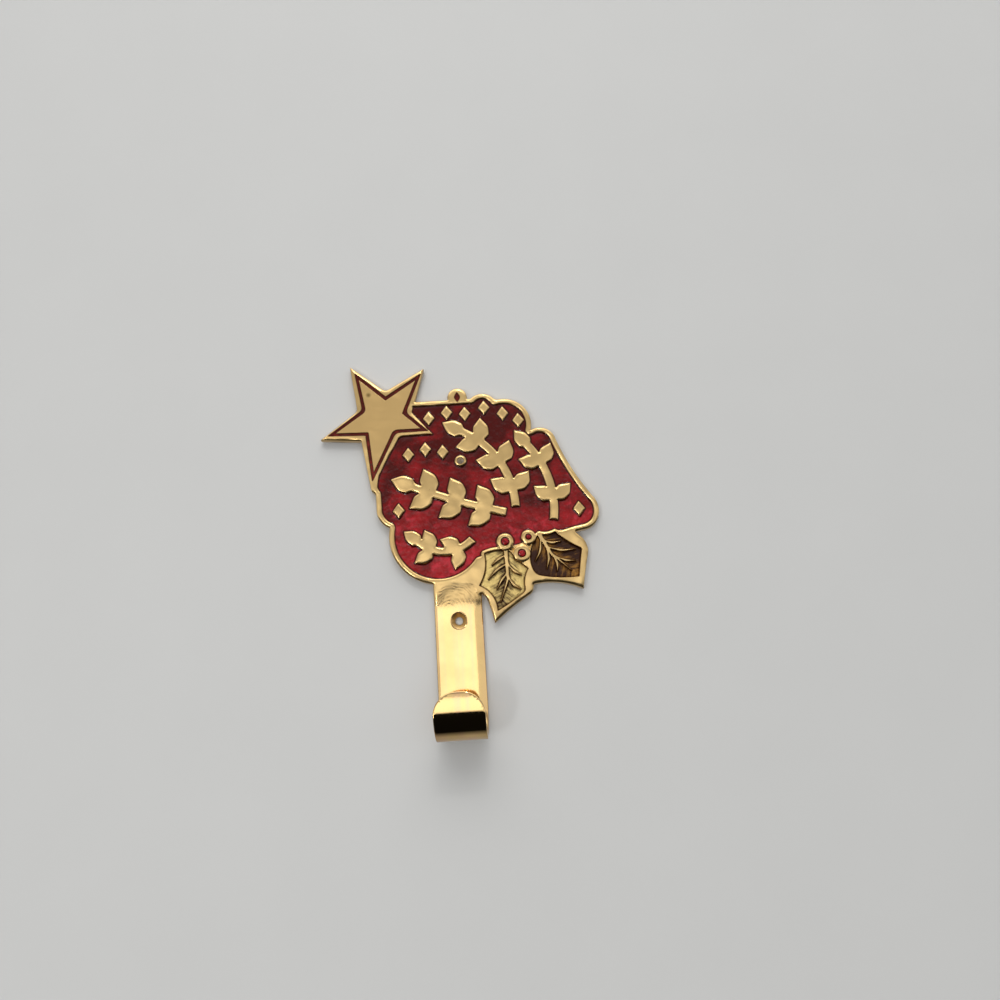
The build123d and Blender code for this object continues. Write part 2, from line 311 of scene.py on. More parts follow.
def softened(loop, step, sharp=0.45, blunt=2.4):
    """Outline as it leaves a mould: smooth curves, and small arcs in place of its corners."""
    loop = without_crumbs(loop)
    legs = np.roll(loop, -1, axis=0) - loop
    heading = np.arctan2(legs[:, 1], legs[:, 0])
    turn = (heading - np.roll(heading, 1) + math.pi) % (2 * math.pi) - math.pi
    corners = np.flatnonzero(np.abs(turn) > CORNER_TURN)
    if not len(corners):
        curve = span_curve(np.vstack([loop, loop[:2]]), step)
        return on_grid(curve[:-1 - max(1, round(np.hypot(*legs[0]) / step))])
    spans = []
    for here, ahead in zip(corners, np.roll(corners, -1)):
        count = (ahead - here) % len(loop) or len(loop)
        spans.append(loop[(here + np.arange(count + 1)) % len(loop)])
    sizes = [np.hypot(*np.diff(span, axis=0).T).sum() for span in spans]
    cuts = []
    for i, corner in enumerate(corners):
        tip = TIP_RADIUS / math.sin(max(math.pi - abs(turn[corner]), 0.05) / 2)
        reach = blunt if abs(turn[corner]) < BLUNT_TURN else max(sharp, tip)
        cuts.append(min(reach, 0.4 * sizes[i], 0.4 * sizes[i - 1]))
    runs = []
    for i, span in enumerate(spans):
        curve = span_curve(span, step / 2)
        along = np.concatenate([[0], np.cumsum(np.hypot(*np.diff(curve, axis=0).T))])
        start, end = cuts[i], along[-1] - cuts[(i + 1) % len(cuts)]
        marks = np.linspace(start, end, max(1, round((end - start) / step)) + 1)
        runs.append(np.column_stack([np.interp(marks, along, curve[:, k]) for k in (0, 1)]))
    joined = []
    for i, run in enumerate(runs):
        ahead = runs[(i + 1) % len(runs)]
        corner = loop[corners[(i + 1) % len(corners)]]
        bow = np.hypot(*(ahead[0] - corner)) + np.hypot(*(run[-1] - corner))
        count = max(3, round(bow / step))
        t = (np.arange(1, count) / count)[:, None]
        arc = (1 - t) ** 2 * run[-1] + 2 * t * (1 - t) * corner + t * t * ahead[0]
        joined += [run, arc]
    return on_grid(np.vstack(joined))


def spread_out(loop, distance):
    """Loop of straight legs moved to its right by a distance, with its sharp tips cut short."""
    legs = np.roll(loop, -1, axis=0) - loop
    legs = legs / np.hypot(legs[:, 0], legs[:, 1])[:, None]
    right = np.column_stack([legs[:, 1], -legs[:, 0]])
    before = np.roll(right, 1, axis=0)
    stretch = np.clip(1 + (right * before).sum(axis=1), 0.5, 2)
    return loop + (right + before) / stretch[:, None] * distance


def left_of(outline):
    """Unit vectors to the left of an outline, at its points."""
    along = np.roll(outline, -1, axis=0) - np.roll(outline, 1, axis=0)
    along /= np.hypot(along[:, 0], along[:, 1])[:, None]
    return np.column_stack([-along[:, 1], along[:, 0]])


def circle(centre, radius, step):
    """Outline of a round hole, anticlockwise."""
    count = max(24, round(2 * math.pi * radius / step))
    angles = np.linspace(0, 2 * math.pi, count, endpoint=False)
    return on_grid(np.array(centre) + radius * np.column_stack([np.cos(angles), np.sin(angles)]))


def flat_outline():
    """Outer edge of the casting before the hook was bent: the strap runs on straight to the lip's end."""
    loop = max(face_loops("brass_casting", 0.0), key=lambda outline: np.ptp(outline[:, 0]))
    loop = loop[(loop[:, 1] > RAMP[0]) | (np.abs(loop[:, 0]) > STRAP_HALF + 0.5)]
    beside = (np.abs(np.abs(loop[:, 0]) - STRAP_HALF) < 1.0) & (loop[:, 1] < STRAP_TOP - 1)
    loop[beside, 0] = np.sign(loop[beside, 0]) * STRAP_HALF
    end = BEND_TOP - math.pi * BEND_RADIUS - (LIP_END - BEND_TOP)
    angles = np.linspace(math.pi, 1.5 * math.pi, 13)
    across = LIP_CORNER - STRAP_HALF + LIP_CORNER * np.cos(angles)
    left = np.column_stack([across, end + LIP_CORNER * (1 + np.sin(angles))])
    right = left[::-1] * [-1, 1]
    tongue = np.vstack([[-STRAP_HALF, TONGUE_TOP], left, right, [STRAP_HALF, TONGUE_TOP]])
    ahead = np.roll(loop, -1, axis=0)
    low = (loop[:, 1] < STRAP_TOP) & (ahead[:, 1] < STRAP_TOP)
    gap = int(np.flatnonzero((loop[:, 0] < 0) & (ahead[:, 0] > 0) & low)[0])
    return np.vstack([loop[:gap + 1], tongue, loop[gap + 1:]])


def tree_of(points):
    """Search tree over plan points."""
    tree = kdtree.KDTree(len(points))
    for i, (x, z) in enumerate(points):
        tree.insert((x, z, 0), i)
    tree.balance()
    return tree


def nearest(tree, points):
    """Index of and distance to the nearest point of a tree, for each plan point."""
    found = [tree.find((x, z, 0)) for x, z in points]
    return np.array([f[1] for f in found]), np.array([f[2] for f in found])


def inside(points, outline):
    """Whether plan points lie inside an outline."""
    x, z = points[:, 0], points[:, 1]
    odd = np.zeros(len(points), bool)
    for (ax, az), (bx, bz) in zip(outline, np.roll(outline, -1, axis=0)):
        if az == bz:
            continue
        crossing = (az > z) != (bz > z)
        odd ^= crossing & (x < (bx - ax) * (z - az) / (bz - az) + ax)
    return odd


def grid_points(outline, spacing, low=-1e9, high=1e9):
    """Staggered loose points inside an outline, between two heights."""
    lowest, highest = outline.min(0), outline.max(0)
    rows = []
    heights = np.arange(max(lowest[1], low), min(highest[1], high), spacing * 0.866)
    for row, z in enumerate(heights):
        xs = np.arange(lowest[0] + (row % 2) * spacing / 2, highest[0], spacing)
        rows.append(np.column_stack([xs, np.full(len(xs), z)]))
    points = np.vstack(rows)
    return points[inside(points, outline)]


def sheet(outlines, offsets, loose):
    """Triangles that fill the left side of the outlines, with rows of points beside them at set distances."""
    samples = np.vstack(outlines)
    normals = np.vstack([left_of(outline) for outline in outlines])
    tree = tree_of(samples)
    points = [samples]
    edges = []
    first = 0
    for outline in outlines:
        count = len(outline)
        edges += [(first + i, first + (i + 1) % count) for i in range(count)]
        first += count
    barriers = len(edges)
    total = len(samples)
    first = 0
    for outline, distances in zip(outlines, offsets):
        count = len(outline)
        for distance in distances:
            row = outline + normals[first:first + count] * distance
            clear = nearest(tree, row)[1] > 0.95 * distance
            places = np.full(count, -1)
            places[clear] = total + np.arange(clear.sum())
            points.append(row[clear])
            total += int(clear.sum())
            ahead = np.roll(places, -1)
            edges += [(a, b) for a, b in zip(places.tolist(), ahead.tolist()) if a >= 0 and b >= 0]
        first += count
    if len(loose):
        which, distance = nearest(tree, loose)
        rows = [max(distances) if distances else 0.2 for distances in offsets]
        reach = np.repeat(rows, [len(outline) for outline in outlines])
        points.append(loose[distance > 1.25 * reach[which]])
    flat = [Vector(point) for point in np.vstack(points).tolist()]
    places, links, faces, _, link_source, _ = delaunay_2d_cdt(flat, edges, [], 0, 1e-5, True)
    places = np.array([tuple(place) for place in places])
    faces = np.array(faces)
    fence = set()
    for (a, b), source in zip(links, link_source):
        if any(edge < barriers for edge in source):
            fence.add((min(a, b), max(a, b)))
    faces = faces[kept_side(places, faces, fence, samples, normals, tree)]
    used, faces = np.unique(faces, return_inverse=True)
    return places[used], faces.reshape(-1, 3)


def kept_side(places, faces, fence, samples, normals, tree):
    """Which triangles lie left of the outlines: whole patches between fences are kept or dropped."""
    beside = {}
    for number, (a, b, c) in enumerate(faces.tolist()):
        for u, v in ((a, b), (b, c), (c, a)):
            key = (u, v) if u < v else (v, u)
            if key not in fence:
                beside.setdefault(key, []).append(number)
    near = [[] for _ in faces]
    for pair in beside.values():
        if len(pair) == 2:
            near[pair[0]].append(pair[1])
            near[pair[1]].append(pair[0])
    patch = np.full(len(faces), -1)
    count = 0
    for seed in range(len(faces)):
        if patch[seed] >= 0:
            continue
        patch[seed] = count
        queue = [seed]
        while queue:
            for other in near[queue.pop()]:
                if patch[other] < 0:
                    patch[other] = count
                    queue.append(other)
        count += 1
    middle = places[faces].mean(axis=1)
    which = nearest(tree, middle)[0]
    lean = ((middle - samples[which]) * normals[which]).sum(axis=1)
    legs = places[faces[:, 1:]] - places[faces[:, :1]]
    area = np.abs(legs[:, 0, 0] * legs[:, 1, 1] - legs[:, 0, 1] * legs[:, 1, 0])
    vote = np.bincount(patch, weights=np.sign(lean) * area, minlength=count)
    return vote[patch] > 0


def rolled(distance, width, height):
    """Drop of a rounded edge at a distance from its outline: a quarter of an ellipse."""
    inward = np.clip(1 - distance / width, 0, 1)
    return height * (1 - np.sqrt(1 - inward ** 2))


def smooth(t):
    """Soft step from 0 to 1."""
    t = np.clip(t, 0, 1)
    return t * t * (3 - 2 * t)


class Shell:
    """Mesh in the making: points are shared where they meet, and carry marks for the material."""

    def __init__(self):
        self.index = {}
        self.points = []
        self.marks = []
        self.faces = []

    def add(self, plan, level, marks):
        places = []
        level = np.broadcast_to(level, len(plan))
        marks = np.broadcast_to(marks, (len(plan), len(MARKS)))
        for (x, z), height, mark in zip(plan.tolist(), level.tolist(), marks.tolist()):
            key = (round(x, 4), round(height, 4), round(z, 4))
            if key not in self.index:
                self.index[key] = len(self.points)
                self.points.append((x * MM, -height * MM, z * MM))
                self.marks.append(mark)
            places.append(self.index[key])
        return np.array(places)

    def sheet(self, plan, faces, level, marks, front=True):
        places = self.add(plan, level, marks)[faces]
        ordered = places if front else places[:, ::-1]
        self.faces += [tuple(face) for face in ordered.tolist() if len(set(face)) == 3]

    def wall(self, outline, top, bottom, marks):
        upper = self.add(outline, top, marks)
        lower = self.add(outline, bottom, marks)
        for a, b, c, d in zip(upper, np.roll(upper, -1), np.roll(lower, -1), lower):
            corners = list(dict.fromkeys((int(d), int(c), int(b), int(a))))
            if len(corners) > 2:
                self.faces.append(tuple(corners))

    def object(self, name):
        mesh = bpy.data.meshes.new(name)
        mesh.from_pydata(self.points, [], self.faces)
        mesh.validate()
        mesh.shade_smooth()
        mesh.set_sharp_from_angle(angle=math.radians(50))
        for label, values in zip(MARKS, np.array(self.marks, dtype=np.float32).T):
            layer = mesh.attributes.new(label, "FLOAT", "POINT")
            layer.data.foreach_set("value", np.ascontiguousarray(values))
        piece = bpy.data.objects.new(name, mesh)
        bpy.context.scene.collection.objects.link(piece)
        return piece


def add(tree, kind, inputs=(), out=0, **settings):
    """Adds a node and gives its output socket; a shader node's kind is written without its prefix.

    Inputs are numbers, colours or other nodes' sockets, by name or in the node's own order:
    Map Range takes a value, the range it comes from and the range it goes to.
    """
    node = tree.nodes.new(kind if "Node" in kind else "ShaderNode" + kind)
    for name, value in settings.items():
        setattr(node, name, value)
    for name, value in inputs.items() if isinstance(inputs, dict) else enumerate(inputs):
        if isinstance(value, bpy.types.NodeSocket):
            tree.links.new(value, node.inputs[name])
        else:
            node.inputs[name].default_value = value
    return node.outputs[out] if len(node.outputs) else None


def empty_tree(owner):
    """Cleared node tree of a material or a world."""
    owner.use_nodes = True
    owner.node_tree.nodes.clear()
    return owner.node_tree


def per_mm(size):
    """Texture scale whose features are about this many millimetres across."""
    return 1 / (size * MM)


def rgba(value):
    """Colour with full opacity."""
    return (*value, 1.0)


def brass_material(casting):
    # Cast brass, clear-lacquered. The strap and hook are buffed to a mirror with faint streaks along them; the
    # plaque and star are rubbed to a satin. Near every edge and on the walls the brass is painted brown: patina
    # in the hollows, and painted shade along the edges. The back keeps the dull, finely pitted skin of the
    # sand.
    material = bpy.data.materials.new("Cast brass, buffed and lacquered")
    tree = empty_tree(material)
    place = add(tree, "TexCoord", out="Object")
    x, _, height = add(tree, "SeparateXYZ", (place,)).node.outputs
    edge, front, satin = [add(tree, "Attribute", out="Fac", attribute_name=mark) for mark in MARKS]
    cloud, grain, waves, gaps = [
        add(tree, "TexNoise", {"Vector": place, "Scale": per_mm(size), "Detail": detail})
        for size, detail in ((16, 4.0), (0.8, 3.0), (11, 1.0), (3, 2.0))
    ]
    drawn = add(tree, "Mapping", {"Vector": place, "Scale": (1.0, 1.0, 0.03)})
    streaks, bands = [
        add(tree, "TexNoise", {"Vector": drawn, "Scale": per_mm(size), "Detail": 2.0}) for size in (1.6, 4.5)
    ]

    # Swirls left by the buff above the lower screw hole, about twice as coarse as they are, so as to show.
    above = add(tree, "MapRange", (height, 5 * MM, 9 * MM), interpolation_type="SMOOTHSTEP")
    ramp = add(tree, "MapRange", (height, 16 * MM, 22 * MM, above, 0.0), interpolation_type="SMOOTHSTEP")
    round_hole = add(tree, "Mapping", {"Vector": place, "Location": (4 * MM, 0.0, -5 * MM)})
    rings = add(tree, "TexWave", {
        "Vector": round_hole, "Scale": per_mm(1.5) * math.tau / 20, "Distortion": 9.0, "Detail": 3.0,
        "Detail Scale": 0.8,
    }, "Fac", wave_type="RINGS", rings_direction="Y")
    sideways = add(tree, "Math", (x,), operation="ABSOLUTE")
    on_strap = add(tree, "MapRange", (sideways, 9.5 * MM, 12 * MM, ramp, 0.0))
    runs = add(tree, "MapRange", (gaps, 0.4, 0.6, 0.1, on_strap))
    shown = add(tree, "Math", (runs, on_strap), operation="MULTIPLY")
    swirls = add(tree, "Math", (rings, shown), operation="MULTIPLY")

    # Colour: copper streaks in the mirror, a duller star with a stain, a brown back, and brown near the edges
    # that is patina with painted shade.
    # Painted shade: brown near every edge and on the walls, mixed with the patina of the hollows
    corner = add(tree, "MapRange", (edge, 0.05, 0.45, 0.85, 0.0), interpolation_type="SMOOTHSTEP")
    mottled = add(tree, "MapRange", (cloud, 0.4, 0.8, 0.0, 0.3))
    dulled = add(tree, "MapRange", (satin, 1.0, STAR_SATIN, mottled, 0.27))
    worn = add(tree, "Math", (swirls, 0.4, dulled), operation="MULTIPLY_ADD")
    age_and_edge_shade = add(tree, "Math", (corner, worn), operation="MAXIMUM")
    skin = add(tree, "MapRange", (cloud, 0.35, 0.65, 0.25, 0.65))
    darkened_share = add(tree, "MapRange", (front, 0.0, 1.0, skin, age_and_edge_shade))
    mirror = add(tree, "MapRange", (satin, 0.0, 1.0, 0.8, 0.0))
    warmth = add(tree, "MapRange", (bands, 0.45, 0.75, 0.0, mirror))
    stain_place = (-41.9 * MM, -PLAQUE_LEVEL * MM, 121.4 * MM)
    spot = add(tree, "VectorMath", (place, stain_place), "Value", operation="DISTANCE")
    stain = add(tree, "MapRange", (spot, 0.2 * MM, 1.9 * MM, 0.75, 0.0), interpolation_type="SMOOTHSTEP")
    tint = rgba(casting.brass)
    for share, over in ((warmth, casting.streak), (darkened_share, casting.aged_and_edge_shade), (stain, casting.smudge)):
        tint = add(tree, "Mix", {0: share, 6: tint, 7: rgba(over)}, 2, data_type="RGBA")

    rubbed = add(tree, "Math", (satin, 0.21, 0.05), operation="MULTIPLY_ADD")
    grainy = add(tree, "Math", (grain, 0.05, rubbed), operation="MULTIPLY_ADD")
    rough = add(tree, "MapRange", (front, 0.0, 1.0, 0.45, grainy))

    # Relief: drawn lines, swirls, grain with the back's pits, and the unevenness of polishing by hand.
    pitted = add(tree, "MapRange", (front, 0.0, 1.0, 12.0, 1.0))
    sanded = add(tree, "Math", (grain, pitted), operation="MULTIPLY")
    hand = add(tree, "MapRange", (satin, 0.0, 1.0, 0.04, 1.0))
    level = add(tree, "Math", (waves, 0.5), operation="SUBTRACT")
    uneven = add(tree, "Math", (level, hand), operation="MULTIPLY")
    relief = {}
    for shape, strength, depth in (
        (streaks, 0.25, 0.02), (swirls, 0.5, 0.06), (sanded, 0.15, 0.03), (uneven, 1.0, 1.1)
    ):
        relief["Normal"] = add(tree, "Bump", {
            "Height": shape, "Strength": strength, "Distance": depth * MM, **relief
        })
    shader = add(tree, "BsdfPrincipled", {
        "Base Color": tint, "Metallic": 1.0, "Roughness": rough,
        "Coat Weight": 0.3, "Coat Roughness": 0.12, **relief,
    })
    add(tree, "OutputMaterial", (shader,))
    return material


def enamel_material(name, thick, thin, glint, spread, seam_width):
    # Poured glass enamel, fired and left unground: a wet gloss over a colour that deepens where the layer is
    # thick and glows where the metal is near. Painted light: the red brightens towards the bottom, bright
    # patches are painted glints, and a painted dark shade runs along every metal edge.
    material = bpy.data.materials.new(name)
    tree = empty_tree(material)
    place = add(tree, "TexCoord", out="Object")
    edge = add(tree, "Attribute", out="Fac", attribute_name="edge")
    height = add(tree, "SeparateXYZ", (place,), "Z")
    cloud, patches = [
        add(tree, "TexNoise", {"Vector": place, "Scale": per_mm(size), "Detail": detail, "Roughness": 0.62})
        for size, detail in ((spread, 6.0), (0.4 * spread, 5.0))
    ]
    # Painted light: the red is brighter towards the bottom and darker towards the top
    lower = add(tree, "MapRange", (height, 112 * MM, 30 * MM, -0.18, 0.1))
    glow_and_painted_light = add(tree, "Math", (cloud, lower), operation="ADD")
    share = add(tree, "MapRange", (glow_and_painted_light, 0.37, 0.7))
    # Painted glints: patches of glowing red, more of them low down
    hot = add(tree, "Math", (patches, lower), operation="ADD")
    painted_glint = add(tree, "MapRange", (hot, 0.54, 0.8, 0.0, 0.7), interpolation_type="SMOOTHSTEP")
    line = 0.15 * seam_width
    seam = add(tree, "MapRange", (edge, line, seam_width), interpolation_type="SMOOTHSTEP")
    lit = add(tree, "Math", (share, seam), operation="MULTIPLY")
    # Painted shade: a dark line where the enamel meets the metal
    painted_edge_shade = add(tree, "MapRange", (edge, line, 0.8 * seam_width, 0.7, 0.0))
    tint = rgba(thick)
    for part, over in ((lit, thin), (painted_glint, glint), (painted_edge_shade, [c * 0.25 for c in thick])):
        tint = add(tree, "Mix", {0: part, 6: tint, 7: rgba(over)}, 2, data_type="RGBA")
    waves = add(tree, "TexNoise", {"Vector": place, "Scale": per_mm(2.6), "Detail": 2.0})
    swell = add(tree, "Bump", {"Height": waves, "Strength": 1.0, "Distance": 0.5 * MM})
    shader = add(tree, "BsdfPrincipled", {
        "Base Color": tint, "Roughness": 0.1, "IOR": 1.52, "Specular IOR Level": 0.22, "Normal": swell
    })
    add(tree, "OutputMaterial", (shader,))
    return material


def lacquer_material(name, thick, thin, cover, run, middle, rib, slope):
    # Tinted lacquer brushed over the rough-cast leaf: it runs dark along the veins and rim, as pooled lacquer
    # with painted shade, and leaves the metal shining through, warm and mottled, between them. The brush
    # strokes slant away from the midrib as the veins do, and the layer thins or thickens towards the leaf's
    # sides, which also paints shade beside the near leaf's midrib and a glint beside the far leaf's.
    material = bpy.data.materials.new(name)
    tree = empty_tree(material)
    place = add(tree, "TexCoord", out="Object")
    edge = add(tree, "Attribute", out="Fac", attribute_name="edge")
    cloud = add(tree, "TexNoise", {"Vector": place, "Scale": per_mm(3.6), "Detail": 5.0, "Roughness": 0.65})
    aside = add(tree, "VectorMath", (place, middle), operation="SUBTRACT")
    along, across = [
        add(tree, "VectorMath", (aside, aim), "Value", operation="DOT_PRODUCT")
        for aim in (rib, (rib[2], 0.0, -rib[0]))
    ]
    off = add(tree, "Math", (across,), operation="ABSOLUTE")
    slant = add(tree, "Math", (off, -0.7, along), operation="MULTIPLY_ADD")
    swept = add(tree, "CombineXYZ", (slant, off))
    brushed = add(tree, "Mapping", {"Vector": swept, "Scale": (1.0, 0.15, 1.0)})
    strokes = add(tree, "TexNoise", {"Vector": brushed, "Scale": per_mm(1.6), "Detail": 3.0})
    laid = add(tree, "Mix", {0: 0.6, 2: cloud, 3: strokes})
    # Painted shade beside the near leaf's midrib and a painted glint beside the far leaf's, as the lacquer
    # thins or thickens
    thinner = add(tree, "Math", (off, per_mm(slope), laid), operation="MULTIPLY_ADD")
    bare = add(tree, "MapRange", (thinner, cover, cover + 0.26), interpolation_type="SMOOTHSTEP")
    # Painted shade with pooled lacquer: dark along the veins and rim
    drift = add(tree, "Math", (laid, 1.8, edge), operation="MULTIPLY_ADD")
    away = add(tree, "MapRange", (drift, 0.85, 0.85 + run), interpolation_type="SMOOTHSTEP")
    share = add(tree, "Math", (bare, away), operation="MULTIPLY")
    tint = add(tree, "Mix", {0: share, 6: rgba(thick), 7: rgba(thin)}, 2, data_type="RGBA")
    metal = add(tree, "MapRange", (share, 0.0, 1.0, 0.2, 0.85))
    hammered = add(tree, "TexNoise", {"Vector": place, "Scale": per_mm(2.2), "Detail": 2.0})
    dents = add(tree, "Bump", {"Height": hammered, "Strength": 0.9, "Distance": 0.35 * MM})
    shader = add(tree, "BsdfPrincipled", {
        "Base Color": tint, "Metallic": metal, "Roughness": 0.3, "Specular IOR Level": 0.3, "Normal": dents
    })
    add(tree, "OutputMaterial", (shader,))
    return material


def berry_spots():
    """Centre, and radius of the enamel drop, of each berry."""
    spots = []
    for name in BERRY_NODES:
        low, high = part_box(name)
        middle = (low + high) / 2 / MM
        spots.append((np.array([middle.x, middle.z]), (high.x - low.x) / MM / 2))
    return spots


def pours_of(step):
    """Every pour: (node, level of its surface, outlines with the pour on their left)."""
    pours = []
    for name in POUR_NODES:
        level = -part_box(name)[0].y / MM
        loops = face_loops(name, level)
        if name == "star_enamel":
            loops = [spread_out(without_crumbs(loop), GROOVE_SPREAD) for loop in loops]
        pours.append((name, level, [softened(loop, step) for loop in loops]))
    return pours


def leaf_edges(step):
    """Outlines of the sunk leaves in the plaque's face, veins and all."""
    openings = face_loops("brass_casting", PLAQUE_LEVEL)
    edges = []
    for name in LEAF_NODES:
        low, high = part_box(name)
        box = np.array([low.x, low.z, high.x, high.z]) / MM
        leaf = min(openings, key=lambda o: np.abs(np.r_[o.min(0), o.max(0)] - box).sum())
        edges.append(softened(leaf, step))
    return edges


def plaque_step(plan):
    """How far plan points have come up from the strap's ramp to the plaque's face: 0 to 1."""
    share = np.ones(len(plan))
    near = np.flatnonzero((np.abs(plan[:, 0]) < STRAP_HALF + 1.5) & (plan[:, 1] < STRAP_TOP))
    points = plan[near]
    gap = np.full(len(points), 1e9)
    for a, b in zip(PLAQUE_FOOT[:FOOT_LEGS], PLAQUE_FOOT[1:]):
        t = np.clip(((points - a) @ (b - a)) / ((b - a) @ (b - a)), 0, 1)
        gap = np.minimum(gap, np.hypot(*(points - a - t[:, None] * (b - a)).T))
    gap[~inside(points, PLAQUE_FOOT)] *= -1
    share[near] = smooth(0.5 + gap / FOOT_SLOPE)
    return share


def brass_base(plan, leaves):
    """Level of the casting's front before its edges are rolled."""
    x, z = plan.T
    along = (z - RAMP[0]) / (RAMP[1] - RAMP[0])
    even = np.mean([np.clip(along + shift, 0, 1) for shift in np.linspace(-0.25, 0.25, 11)], axis=0)
    ramp = STRAP_LEVEL + (PLAQUE_LEVEL - STRAP_LEVEL) * even
    worn = WEAR_DEPTH * np.clip((x - WEAR_START) / (STRAP_HALF - WEAR_START), 0, 1) ** 2
    ramp -= worn * (x < STRAP_HALF + 0.6) * smooth((WEAR_END - z) / WEAR_FADE)
    level = ramp + (PLAQUE_LEVEL - ramp) * plaque_step(plan)
    for leaf in leaves:
        sunk = smooth(nearest(tree_of(leaf), plan)[1] / 1.2) * inside(plan, leaf)
        level = level + (VEIN_LEVEL - level) * sunk
    for centre, radius in berry_spots():
        swell = (np.hypot(*(plan - centre).T) - radius - BERRY_RIDGE) / (BERRY_RING - BERRY_RIDGE)
        level = level + BERRY_SWELL * np.sqrt(np.clip(1 - swell ** 2, 0, 1)) * (swell < 1)
    seat = np.hypot(x, z)
    return np.where(seat < COUNTERSINK, np.minimum(level, STRAP_LEVEL - (COUNTERSINK - seat)), level)


def new_tree(name, *sizes):
    """Geometry tree with named sizes and a material as its inputs: the tree and the input sockets."""
    tree = bpy.data.node_groups.new(name, "GeometryNodeTree")
    kinds = {"Geometry": "Geometry", **dict.fromkeys(sizes, "Float"), "Material": "Material"}
    for label, kind in kinds.items():
        tree.interface.new_socket(label, in_out="INPUT", socket_type="NodeSocket" + kind)
    tree.interface.new_socket("Geometry", in_out="OUTPUT", socket_type="NodeSocketGeometry")
    return tree, add(tree, "NodeGroupInput").node.outputs


def bend_tree():
    """Geometry nodes that bend the flat casting's tongue round into the hook."""
    sizes = ("Bend radius", "Bend top", "Lean", "Lip curl")
    tree, given = new_tree("Hook bend", *sizes)
    place = add(tree, "GeometryNodeInputPosition")
    known = {size: given[size] for size in sizes}
    known.update(zip("xyz", add(tree, "SeparateXYZ", (place,)).node.outputs))
    for name, operation, *values in (
        ("fall", "SUBTRACT", "Bend top", "z"),
        ("below", "MAXIMUM", "fall", 0.0),
        ("half turn", "MULTIPLY", "Bend radius", math.pi),
        ("round part", "MINIMUM", "below", "half turn"),
        ("angle", "DIVIDE", "round part", "Bend radius"),
        ("straight", "SUBTRACT", "below", "round part"),
        ("reach", "ADD", "Bend radius", "y"),
        ("middle", "MULTIPLY", "Bend radius", -1.0),
        ("cosine", "COSINE", "angle"),
        ("depth", "MULTIPLY_ADD", "reach", "cosine", "middle"),
        ("start", "MAXIMUM", "z", "Bend top"),
        ("sine", "SINE", "angle"),
        ("dip", "MULTIPLY", "reach", "sine"),
        ("sunk", "SUBTRACT", "start", "dip"),
        ("height", "ADD", "sunk", "straight"),
        ("square", "MULTIPLY", "straight", "straight"),
        ("closed", "DIVIDE", "square", "Lip curl"),
        ("nearer", "MULTIPLY_ADD", "closed", 0.5, "depth"),
        ("share", "DIVIDE", "below", "half turn"),
        ("turned", "SMOOTH_MIN", "share", 1.0, 0.2),
        ("across", "MULTIPLY_ADD", "turned", "Lean", "x"),
    ):
        known[name] = add(tree, "Math", [known.get(value, value) for value in values], operation=operation)
    bent = add(tree, "CombineXYZ", (known["across"], known["nearer"], known["height"]))
    moved = add(tree, "GeometryNodeSetPosition", {"Geometry": given["Geometry"], "Position": bent})
    solid = add(tree, "GeometryNodeRealizeInstances", {"Geometry": moved})
    dressed = add(tree, "GeometryNodeSetMaterial", {"Geometry": solid, "Material": given["Material"]})
    add(tree, "NodeGroupOutput", (dressed,))
    return tree


def drops_tree():
    """Geometry nodes that set a domed drop of enamel on each point, as wide as the point's radius."""
    tree, given = new_tree("Berry drops", "Crown", "Root")
    ball = add(tree, "GeometryNodeMeshUVSphere", {"Segments": 48, "Rings": 24, "Radius": 1.0})
    turned = add(tree, "GeometryNodeTransform", {"Geometry": ball, "Rotation": (math.pi / 2, 0, 0)})
    place = add(tree, "GeometryNodeInputPosition")
    x, y, z = add(tree, "SeparateXYZ", (place,)).node.outputs
    outward = add(tree, "FunctionNodeCompare", {"A": y, "B": 0.0}, operation="LESS_THAN")
    size = add(tree, "GeometryNodeSwitch", {
        "Switch": outward, "False": given["Root"], "True": given["Crown"]
    }, input_type="FLOAT")
    depth = add(tree, "Math", (y, size), operation="MULTIPLY")
    shaped = add(tree, "CombineXYZ", (x, depth, z))
    drop = add(tree, "GeometryNodeSetPosition", {"Geometry": turned, "Position": shaped})
    radius = add(tree, "GeometryNodeInputNamedAttribute", {"Name": "radius"}, data_type="FLOAT")
    scale = add(tree, "CombineXYZ", (radius, 1.0, radius))
    placed = add(tree, "GeometryNodeInstanceOnPoints", {
        "Points": given["Geometry"], "Instance": drop, "Scale": scale
    })
    solid = add(tree, "GeometryNodeRealizeInstances", {"Geometry": placed})
    soft = add(tree, "GeometryNodeSetShadeSmooth", {"Geometry": solid})
    dressed = add(tree, "GeometryNodeSetMaterial", {"Geometry": soft, "Material": given["Material"]})
    add(tree, "NodeGroupOutput", (dressed,))
    return tree


def apply_tree(piece, tree, values):
    """Runs a piece's geometry nodes once and keeps the result as a plain mesh."""
    modifier = piece.modifiers.new(tree.name, "NODES")
    modifier.node_group = tree
    for socket in tree.interface.items_tree:
        if socket.in_out == "INPUT" and socket.name in values:
            modifier[socket.identifier] = values[socket.name]
    evaluated = piece.evaluated_get(bpy.context.evaluated_depsgraph_get())
    mesh = bpy.data.meshes.new_from_object(evaluated)
    piece.modifiers.remove(modifier)
    mesh.name = piece.name
    piece.data = mesh
    if not len(mesh.polygons):
        raise RuntimeError(f"{piece.name} came out empty")


def ready(piece, slot, *nodes):
    """Sets a finished piece in the frame, in place of its CAD nodes."""
    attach(piece, "root")
    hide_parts(*nodes)


